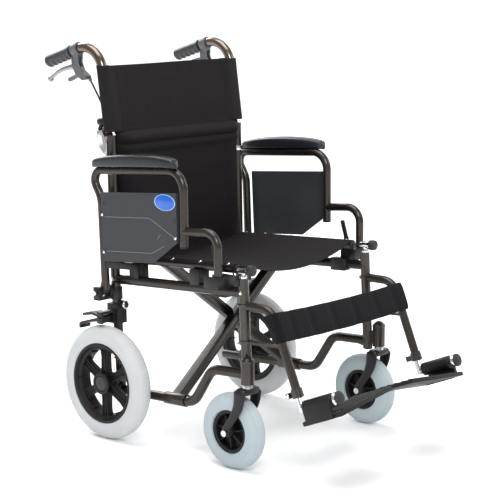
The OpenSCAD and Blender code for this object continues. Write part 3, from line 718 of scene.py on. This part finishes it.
def seat_sling():
    """The seat: cloth over the tops of both rails. It sags between them, most at its front edge."""
    arcs = [math.radians(a) for a in (24, 37, 50, 63, 76, 87)]  # round a rail, from its outer side
    over = 12.2                                                 # from the rail's centre
    front, depth, lines, gaps = -231, 401, 42, 34
    rows = []
    for i in range(lines):
        y = front + (depth * i) / (lines - 1)
        row = [tilted(RAIL_X + over * math.cos(a), y, SEAT_Z + over * math.sin(a)) for a in arcs]
        for j in range(1, gaps):
            t = j / gaps
            x = RAIL_X - 2 * RAIL_X * t
            edge = max(0.0, (-y - 60) / 170)
            sag = (16 + 20 * edge ** 1.5) * (1 - abs(2 * t - 1) ** 2.3)
            row.append(tilted(x, y, SEAT_Z + 12.3 - sag
                              + 1000 * wrinkle(x / 1000, y / 1000, 0.0032, 9.0)
                              + 1000 * wrinkle((x + y) / 1000, (y - x) / 1000, 0.0016, 21.0, 2.0)))
        row += [tilted(-RAIL_X - over * math.cos(a), y, SEAT_Z + over * math.sin(a))
                for a in reversed(arcs)]
        rows.append(row)
    cols = len(rows[0])
    on_rails = list(range(len(arcs))) + list(range(cols - len(arcs), cols))
    pinned = [i * cols + j for i in range(lines) for j in on_rails]
    obj = sheet_mesh("seat_sling_cloth", rows)
    settle(obj, pinned, frames=14, stiffness=15)
    pts = [v.co.copy() for v in obj.data.vertices]
    thicken(obj, 0.0022, -1.0)
    dress(obj, "cloth", None, subsurf=1, replaces=("seat_sling",))
    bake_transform(obj)
    # the hems' stitches, front and rear, then the screws and end caps of the rails
    n = Vector((0, 0, 1))
    for k, i in enumerate((2, 39)):
        line = [pts[i * cols + j] + n * 0.0012 for j in range(5, cols - 5)]
        st = stitches(f"seat_stitches_{k}", smooth_path(line, 3), n, None)
        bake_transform(st)
    for side, s, body in (("left", 1, "front_brace"), ("right", -1, "rear_brace")):
        a, r = math.radians(62), 13.6
        out = Vector((s * math.cos(a), 0, math.sin(a)))
        screws = [dome(tilted(s * (RAIL_X + r * math.cos(a)), y, SEAT_Z + r * math.sin(a)), out,
                       0.0045, 0.0022)
                  for y in (-205, -110, -15, 80, 150)]
        piece(f"{side}_seat_screws", *join(*screws), "chrome", body, weld=False)
        cap = sweep([tilted(s * RAIL_X, y, SEAT_Z) for y in (-228.2, -231.5, -233.5)],
                    [0.0113, 0.0113, 0.0095], 24)
        piece(f"{side}_rail_cap", *cap, "black_plastic", body)


seat_sling()


def back_panel():
    """The lower back: a taut sheet in front of the posts, with two padded folds across its top."""
    rows, nz, nx = [], 66, 52
    half, bottom, top = 228.5, 460, 814
    folds = ((750, 774, 12), (774, 799, 14))  # bottom, top and how far each stands out
    for i in range(nz):
        z = bottom + (top - bottom) * (i / (nz - 1)) ** 0.8
        row = []
        for j in range(nx):
            t = 2 * j / (nx - 1) - 1
            x = half * t
            flat_y = 176.5 - (z - 500) * 0.0375
            hollow = 9 * (1 - t * t) ** 0.8
            fold = 0
            for low, high, bulge in folds:
                if low < z <= high:
                    u = (z - low) / (high - low)
                    fold = bulge * math.sin(math.pi * u) ** 0.6 * min(1, (1 - abs(t)) * 12) ** 0.5
            if z > 799:
                fold = -min(7, (z - 799) * 1.2)
            seam = (2.4 * math.exp(-((abs(x) - 212) / 2.6) ** 2)
                    + 1.8 * math.exp(-((abs(x) - 204) / 2.4) ** 2))
            y = flat_y - 6 + hollow + 15 * abs(t) ** 20 - fold + (seam if z < 748 else 0)
            y += 1000 * wrinkle(x / 1000, z / 1000, 0.0016, 8.0, 3.0)
            row.append(tilted(x, y, z - 14 * (1 - t * t) * max(0.0, (520 - z) / 60)))
        rows.append(row)
    obj = sheet_mesh("back_panel_cloth", rows)
    pts = [v.co.copy() for v in obj.data.vertices]
    thicken(obj, 0.0035, 1.0)
    dress(obj, "cloth", "right_frame", subsurf=1, replaces=("back_panel",))
    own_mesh(obj)
    n = Vector((0, -1, 0))
    for k, j in enumerate((3, nx - 4)):
        line = smooth_path([pts[i * nx + j] + n * 0.0006 for i in range(0, nz - 18)], 3)
        st = stitches(f"back_stitches_{k}", line, n, "right_frame")
        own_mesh(st)


back_panel()


def cane_y(z):
    """Where a back cane's centre is at height z."""
    return 219 + (z - 796.5) * 0.1403


def back_flap():
    """The upper back: a sleeve round each cane and the sheet between them."""
    rows = []
    nz, bottom, top = 24, 798, 967
    sleeve, inner, gaps = 15.2, 207, 30  # sleeve radius, and the sheet's half width and columns
    angles = [math.radians(a) for a in (100, 75, 50, 25, 0, -25, -50, -75, -90)]
    for i in range(nz):
        z = bottom + (top - bottom) * i / (nz - 1)
        y0 = cane_y(z)
        half = [(x, y0 + back) for x, back in ((206, 10.5), (218, 12.5), (230, 14))]
        half += [(CANE_X + sleeve * math.cos(a), y0 + sleeve * math.sin(a)) for a in angles]
        half += [(x, y0 - front)
                 for x, front in ((230, 15.5), (221, 15.0), (214, 13.2), (207, 14.0))]
        mid = []
        for j in range(1, gaps):
            x = inner - 2 * inner * j / gaps
            t = x / inner
            mid.append((x, y0 - 14.0 + 10.0 * (1 - t * t) ** 0.8
                        + 1000 * wrinkle(x / 1000, z / 1000, 0.0018, 6.0, 8.0)))
        edge = (1.6 * math.exp(-((z - top) / 4) ** 2)
                + 1.6 * math.exp(-((z - bottom) / 4) ** 2))
        points = half + mid + [(-x, y) for x, y in reversed(half)]
        rows.append([up(x, y - edge * (1 if y < y0 else -1) * 0.6,
                        z + 2.5 * math.sin(3 * x / 258) * 0.4) for x, y in points])
    obj = sheet_mesh("back_flap_cloth", rows)
    cols = len(rows[0])
    n_half = (cols - (gaps - 1)) // 2
    pts = [v.co.copy() for v in obj.data.vertices]
    thicken(obj, 0.0024, 0.0)
    obj = dress(obj, "cloth", "right_back", subsurf=1, replaces=("back_flap",))
    obj.data.materials.append(M["cloth_painted_sheen"])
    for poly in obj.data.polygons:
        if abs(poly.center.x) > 0.2135:  # the sleeves are painted a little lighter than the sheet, a painted sheen
            poly.material_index = 1
    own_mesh(obj)
    n = Vector((0, -1, 0))
    for k, j in enumerate((n_half - 2, cols - n_half + 1)):
        line = smooth_path([pts[i * cols + j] + n * 0.0016 for i in range(nz)], 6)
        st = stitches(f"flap_stitches_{k}", line, n, "right_back")
        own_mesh(st)


back_flap()

LEG_TILT = math.radians(22.4)  # the lower legs run down and forwards
STRAP_T = 198                  # the strap's middle, along the lower leg
STRAP_HALF = 250


def leg(x, forward, along):
    """A point in the lower leg's own frame, in mm."""
    c, k = math.cos(LEG_TILT), math.sin(LEG_TILT)
    return up(x, -421 - c * forward + k * along, 181.5 + k * forward + c * along)


def calf_strap():
    """A quilted band round both hangers, sewn into pads."""
    seams = (-205, -128, -43, 43, 128, 205)
    sections, sides = 101, 20
    verts = []
    for i in range(sections):
        x = -STRAP_HALF + 5 * i
        near = min(abs(x - q) for q in seams)
        puff = 1 - math.exp(-(near / 9.0) ** 2)
        t = x / STRAP_HALF
        sag = 5.0 * (1 - t * t)
        ends = math.exp(-((abs(x) - STRAP_HALF) / 9) ** 2)
        half_t = 3.2 + 2.6 * puff - 1.2 * ends
        w = 36.5 - 0.6 * (1 - puff)
        for k, a in enumerate(turn(sides)):
            uneven = 1000 * wrinkle(x / 1000, k * 0.05, 0.0012, 11.0, 5.0)
            verts.append(leg(x, 15.5 - 9 * (1 - t * t) ** 0.7 + half_t * boxy(math.cos(a), 0.8),
                             STRAP_T - sag + w * boxy(math.sin(a), 0.45) + uneven))
    faces = grid_faces(sections, sides, False, True) + end_faces(sections, sides)
    strap = piece("calf_strap_quilted", verts, faces, "strap", "right_legrest", subsurf=1,
                  replaces=("calf_strap",))
    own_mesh(strap)
    for side, s in SIDES:
        loop = []
        for z, r in ((-36, 13.2), (-32, 14.4), (-17, 14.2), (0, 14.6), (17, 14.2), (32, 14.4),
                     (36, 13.2)):
            back = 0.5 * max(0, z + 4)
            for a in turn(28):
                f = r * math.sin(a)
                loop.append(leg(s * FRAME_X + r * math.cos(a), f + 1.0 - (back if f < 0 else 0),
                                STRAP_T + z))
        piece(f"{side}_strap_loop", loop, grid_faces(7, 28, False, True), "strap",
              f"{side}_legrest", subsurf=1)
    for k, q in enumerate(seams):
        t = q / STRAP_HALF
        f = 15.5 - 9 * (1 - t * t) ** 0.7 + 3.9
        line = [leg(q, f, STRAP_T - 35 + 2.4 * i - 5.0 * (1 - t * t)) for i in range(30)]
        st = stitches(f"strap_stitches_{k}", line, Vector((0, -1, 0)), "right_legrest")
        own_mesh(st)


calf_strap()


def arm_pad(side, s):
    """A moulded arm pad: crowned, rounded at its ends, fuller above than below."""
    slope, n, sides = 0.065, 30, 24
    verts = []
    for i in range(n):
        t = i / (n - 1)
        e = math.sin(math.pi * t) ** 0.32 if 0 < t < 1 else 0.0
        y = -61 + 297 * (0.5 - 0.5 * math.cos(math.pi * t) * (1 - 0.25 * math.sin(math.pi * t)))
        base = 733.6 - slope * (y + 76)
        base -= 4 * (1 - e) + 2
        width = 24.5 * max(e, 0.02)
        height = 33 * (0.34 + 0.66 * e) * (0.86 + 0.14 * math.sin(math.pi * t))
        for a in turn(sides):
            cz = math.sin(a)
            share = 0.58 + 0.42 * abs(cz) ** 0.9 if cz > 0 else 0.58 - 0.58 * abs(cz) ** 0.4
            verts.append(up(s * (286 + width * boxy(math.cos(a), 0.45)), y, base + height * share))
    faces = grid_faces(n, sides, False, True) + end_faces(n, sides)
    pad = piece(f"{side}_arm_pad_moulded", verts, faces, "pad", f"{side}_arm", subsurf=2,
                replaces=(f"{side}_arm_pad",))


def side_panel(side, s):
    """The arm's side panel, with its lower plate, screws, raised lines and plain oval badge. The
    raised lines' lighter colour is a painted highlight.
    """
    refined(f"{side}_side_panel", "panel", 0.0008).data.shade_flat()
    x = s * 291.8
    lines = [[(192, 586), (30, 598), (-60, 556)], [(187, 498), (23, 510), (-22, 533)],
             [(3, 548), (-9, 561)]]
    plate = prism([(195, 472), (92, 470), (108, 457), (195, 452)], s * 284, s * 288.6)
    piece(f"{side}_panel_plate", *plate, "black_plastic", f"{side}_arm", bevel=0.0008)
    screws = [dome(up(s * 291.6, y, z), (s, 0, 0), 0.0040, 0.0026)
              for y, z in ((201, 590), (197, 494), (-60, 556))]
    piece(f"{side}_panel_screws", *join(*screws), "chrome", f"{side}_arm", weld=False)
    beads = []
    for line in lines:
        pts = []
        for a, b in zip(line, line[1:]):
            pts += [up(x, a[0] + (b[0] - a[0]) * q / 8, a[1] + (b[1] - a[1]) * q / 8)
                    for q in range(8)]
        pts.append(up(x, *line[-1]))
        beads.append(sweep(pts, 0.00125, 8))
    # the raised lines take the lighter colour, a painted highlight
    piece(f"{side}_panel_lines", *join(*beads), "panel_bead", f"{side}_arm", weld=False)
    for name, scale, depth, mat in (("rim", 1.0, 292.95, "badge_rim"),
                                    ("face", 0.93, 293.2, "badge")):
        oval = [(-25 + 36 * scale * math.cos(a), 642 + 20.5 * scale * math.sin(a))
                for a in turn(48)]
        piece(f"{side}_badge_{name}", *prism(oval, s * 291.5, s * depth), mat, f"{side}_arm",
              bevel=0.0003)


def grip(side, s):
    """A push grip with finger ribs underneath and a rounded end."""
    slope = math.radians(16.9)
    d = Vector((0, math.cos(slope), -math.sin(slope)))
    down = Vector((0, -math.sin(slope), -math.cos(slope)))
    sideways = Vector((1, 0, 0))
    start = up(s * CANE_X, 357, 999)
    rings, n, sides = [], 76, 32
    for i in range(n):
        t = 100 * i / (n - 1)
        base = 16.2
        if t < 5:
            base = 17.8
        if t > 94:
            base = 16.2 * math.sqrt(max(0.0, 1 - ((t - 94) / 6.6) ** 2))
        finger = 0.5 - 0.5 * math.cos(2 * math.pi * (t - 8) / 18) if 8 < t < 92 else 0.4
        for a in turn(sides):
            below = max(0.0, math.cos(a)) ** 1.5
            r = base - 0.6 + 2.6 * below * (finger ** 1.6) * (1 if 6 < t < 95 else 0.3)
            rings.append(start + d * t / 1000
                         + r / 1000 * (math.cos(a) * down + math.sin(a) * sideways))
    piece(f"{side}_grip_ribbed", rings, grid_faces(n, sides, False, True) + end_faces(n, sides),
          "grip", f"{side}_back", replaces=(f"{side}_push_grip",), angle=60)


def hand_lever(side, s):
    """A curved cast lever with a ball end."""
    x = s * CANE_X
    pts = smooth_path([up(x, 340, 960), up(x, 354, 959.5), up(x, 372, 956), up(x, 392, 951.5),
                       up(x, 412, 944), up(x, 430, 934), up(x, 441, 927)], 6)
    radii = [0.0078 - 0.0030 * min(1, i / (len(pts) * 0.7)) for i in range(len(pts))]
    body = sweep(pts, radii, 16, squeeze=0.8)
    ball = []
    for j in range(9):
        b = math.pi * j / 8
        for a in turn(18):
            ball.append(up(x, 443, 925) + 0.0082 * Vector((math.sin(b) * math.cos(a),
                                                          math.sin(b) * math.sin(a), math.cos(b))))
    piece(f"{side}_lever_curved", *join(body, (ball, grid_faces(9, 18, False, True))), "alloy",
          f"{side}_hand_lever", replaces=(f"{side}_hand_lever",))


def legrest_fittings(side, s):
    """The hanger's bolt, the mushroom knob on the lower leg and the plunger's black knob."""
    knob = dome(leg(s * FRAME_X, 119, 0), (0, -math.cos(LEG_TILT), math.sin(LEG_TILT)), 0.0165,
                0.009, sides=28)
    bolt = dome(leg(s * (FRAME_X + 11), -24, 37), (s, 0, 0), 0.0064, 0.004)
    piece(f"{side}_hanger_bolt", *bolt, "chrome", f"{side}_legrest")
    piece(f"{side}_mushroom_knob", *knob, "rubber_tip", f"{side}_lower_leg")
    plunger_z = 479.5
    tip = dome(tilted(s * FRAME_X, -290, plunger_z), (0, -1, 0), 0.0132, 0.006, sides=28)
    ring = sweep([tilted(s * FRAME_X, y, plunger_z) for y in (-277, -280, -287, -290.4)],
                 [0.0122, 0.0135, 0.0137, 0.0132], 28)
    piece(f"{side}_plunger_knob", *join(tip, ring), "rubber_tip", f"{side}_legrest_plunger")


def frame_fittings(side, s):
    """Bolt heads on the side frame, the brake adjuster's knob, and the caps on open tube ends."""
    outside = (s, 0, 0)
    bolts = [
        hex_head(up(s * 309, 216, 386), outside, 0.0062, 0.003),
        dome(tilted(s * 252.4, 190, 424.5), outside, 0.0055, 0.003),
        dome(tilted(s * 252.4, -259, 424.5), outside, 0.0045, 0.0025),
        dome(tilted(s * 252.4, -40, 130), outside, 0.0045, 0.0025),
        dome(tilted(s * 256.6, 250, 130), outside, 0.004, 0.0022),
    ]
    piece(f"{side}_frame_bolts", *join(*bolts), "chrome", f"{side}_frame", weld=False)
    knob_at = up(s * FRAME_X, 176.8, 350)
    rim = dome(knob_at, (0, -1, 0), 0.0108, 0.0055, sides=32)
    piece(f"{side}_brake_knob", *rim, "chrome", f"{side}_frame")
    centre_cap = dome(knob_at + Vector((0, -0.0048, 0)), (0, -1, 0), 0.0072, 0.0028, sides=28)
    piece(f"{side}_brake_knob_cap", *centre_cap, "rubber_tip", f"{side}_frame")
    cap = dome(tilted(s * FRAME_X, -259, 203.4), (0, 0, -1), 0.0126, 0.004, sides=28)
    nut = hex_head(up(s * CASTER_X, STEM_Y, 283), (0, 0, 1), 0.007, 0.003)
    piece(f"{side}_post_caps", *join(cap, nut), "black_plastic", f"{side}_frame", weld=False)
    arm_end = sweep([up(s * 278, -77, z) for z in (536.4, 533.0, 531.5)],
                    [0.0112, 0.0112, 0.0095], 24)
    piece(f"{side}_arm_end_cap", *arm_end, "black_plastic", f"{side}_arm")


for side, s in SIDES:
    arm_pad(side, s)
    side_panel(side, s)
    grip(side, s)
    hand_lever(side, s)
    refined(f"{side}_lever_bracket", "cast", 0.0014)
    refined(f"{side}_footplate", "black_plastic", 0.0016, 40)
    legrest_fittings(side, s)
    frame_fittings(side, s)


# ---- studio ----
def stage_sheet(name, corners, stops, noise_scale, roughness, specular):
    """A flat stage piece with a plain, slightly uneven pale colour that also glows white."""
    me = bpy.data.meshes.new(name)
    me.from_pydata(corners, [], [(0, 1, 2, 3)])
    obj = bpy.data.objects.new(name, me)
    bpy.context.scene.collection.objects.link(obj)
    n = Nodes("studio_" + name)
    n.link(n.ramp(n.noise(noise_scale), stops), n.bsdf.inputs["Base Color"])
    n.set(Roughness=roughness, Specular_IOR_Level=specular)
    n.bsdf.inputs["Emission Color"].default_value = (1, 1, 1, 1)
    me.materials.append(n.mat)
    return n


def studio():
    """A white room: a floor that fades to white away from the chair, a backdrop and four lights."""
    scene = bpy.context.scene
    scene.view_settings.view_transform = "Standard"
    world = bpy.data.worlds.new("studio")
    scene.world = world
    world.use_nodes = True
    world.node_tree.nodes["Background"].inputs["Color"].default_value = (1, 1, 1, 1)
    world.node_tree.nodes["Background"].inputs["Strength"].default_value = 0.5
    reach = 14
    n = stage_sheet("floor", [(-reach, -reach, 0), (reach, -reach, 0), (reach, reach, 0),
                              (-reach, reach, 0)],
                    [(0.3, (0.90, 0.905, 0.91)), (0.7, (0.93, 0.935, 0.94))], 0.5, 0.6, 0.2)
    far = n.new("ShaderNodeVectorMath", operation="LENGTH")
    n.link(n.coords.outputs["Object"], far.inputs[0])
    n.link(n.grey(far.outputs["Value"], 0.06, 0.72, 0.7, 5.5), n.bsdf.inputs["Emission Strength"])
    # the backdrop stands across the camera's line of sight, ax to ay, behind the chair
    wall_far, wall_high, wall_half = 9, 9, 12
    ax, ay = 0.747, 0.665
    n = stage_sheet("backdrop", [(wall_far * ax + side * wall_half * ay,
                                  wall_far * ay - side * wall_half * ax, z)
                                 for side, z in ((-1, -0.1), (1, -0.1), (1, wall_high),
                                                 (-1, wall_high))],
                    [(0.3, (0.5, 0.505, 0.51)), (0.7, (0.52, 0.52, 0.525))], 0.4, 0.9, 0.0)
    n.bsdf.inputs["Emission Strength"].default_value = 0.62
    for name, where, aim, size, power in (
        ("key", (-2.6, -3.2, 3.6), (0, 0, 0.5), 1.6, 120),
        ("fill", (3.4, -2.4, 2.4), (0, 0, 0.5), 2.2, 50),
        ("back", (1.0, 3.6, 3.2), (0, 0, 0.6), 2.0, 110),
        ("top", (-0.4, 0.2, 4.2), (0, 0, 0), 3.0, 130),
    ):
        light = bpy.data.lights.new(name, "AREA")
        light.size = size
        light.energy = power
        obj = bpy.data.objects.new(name, light)
        scene.collection.objects.link(obj)
        obj.location = where
        obj.rotation_euler = (Vector(aim) - Vector(where)).to_track_quat("-Z", "Y").to_euler()


studio()
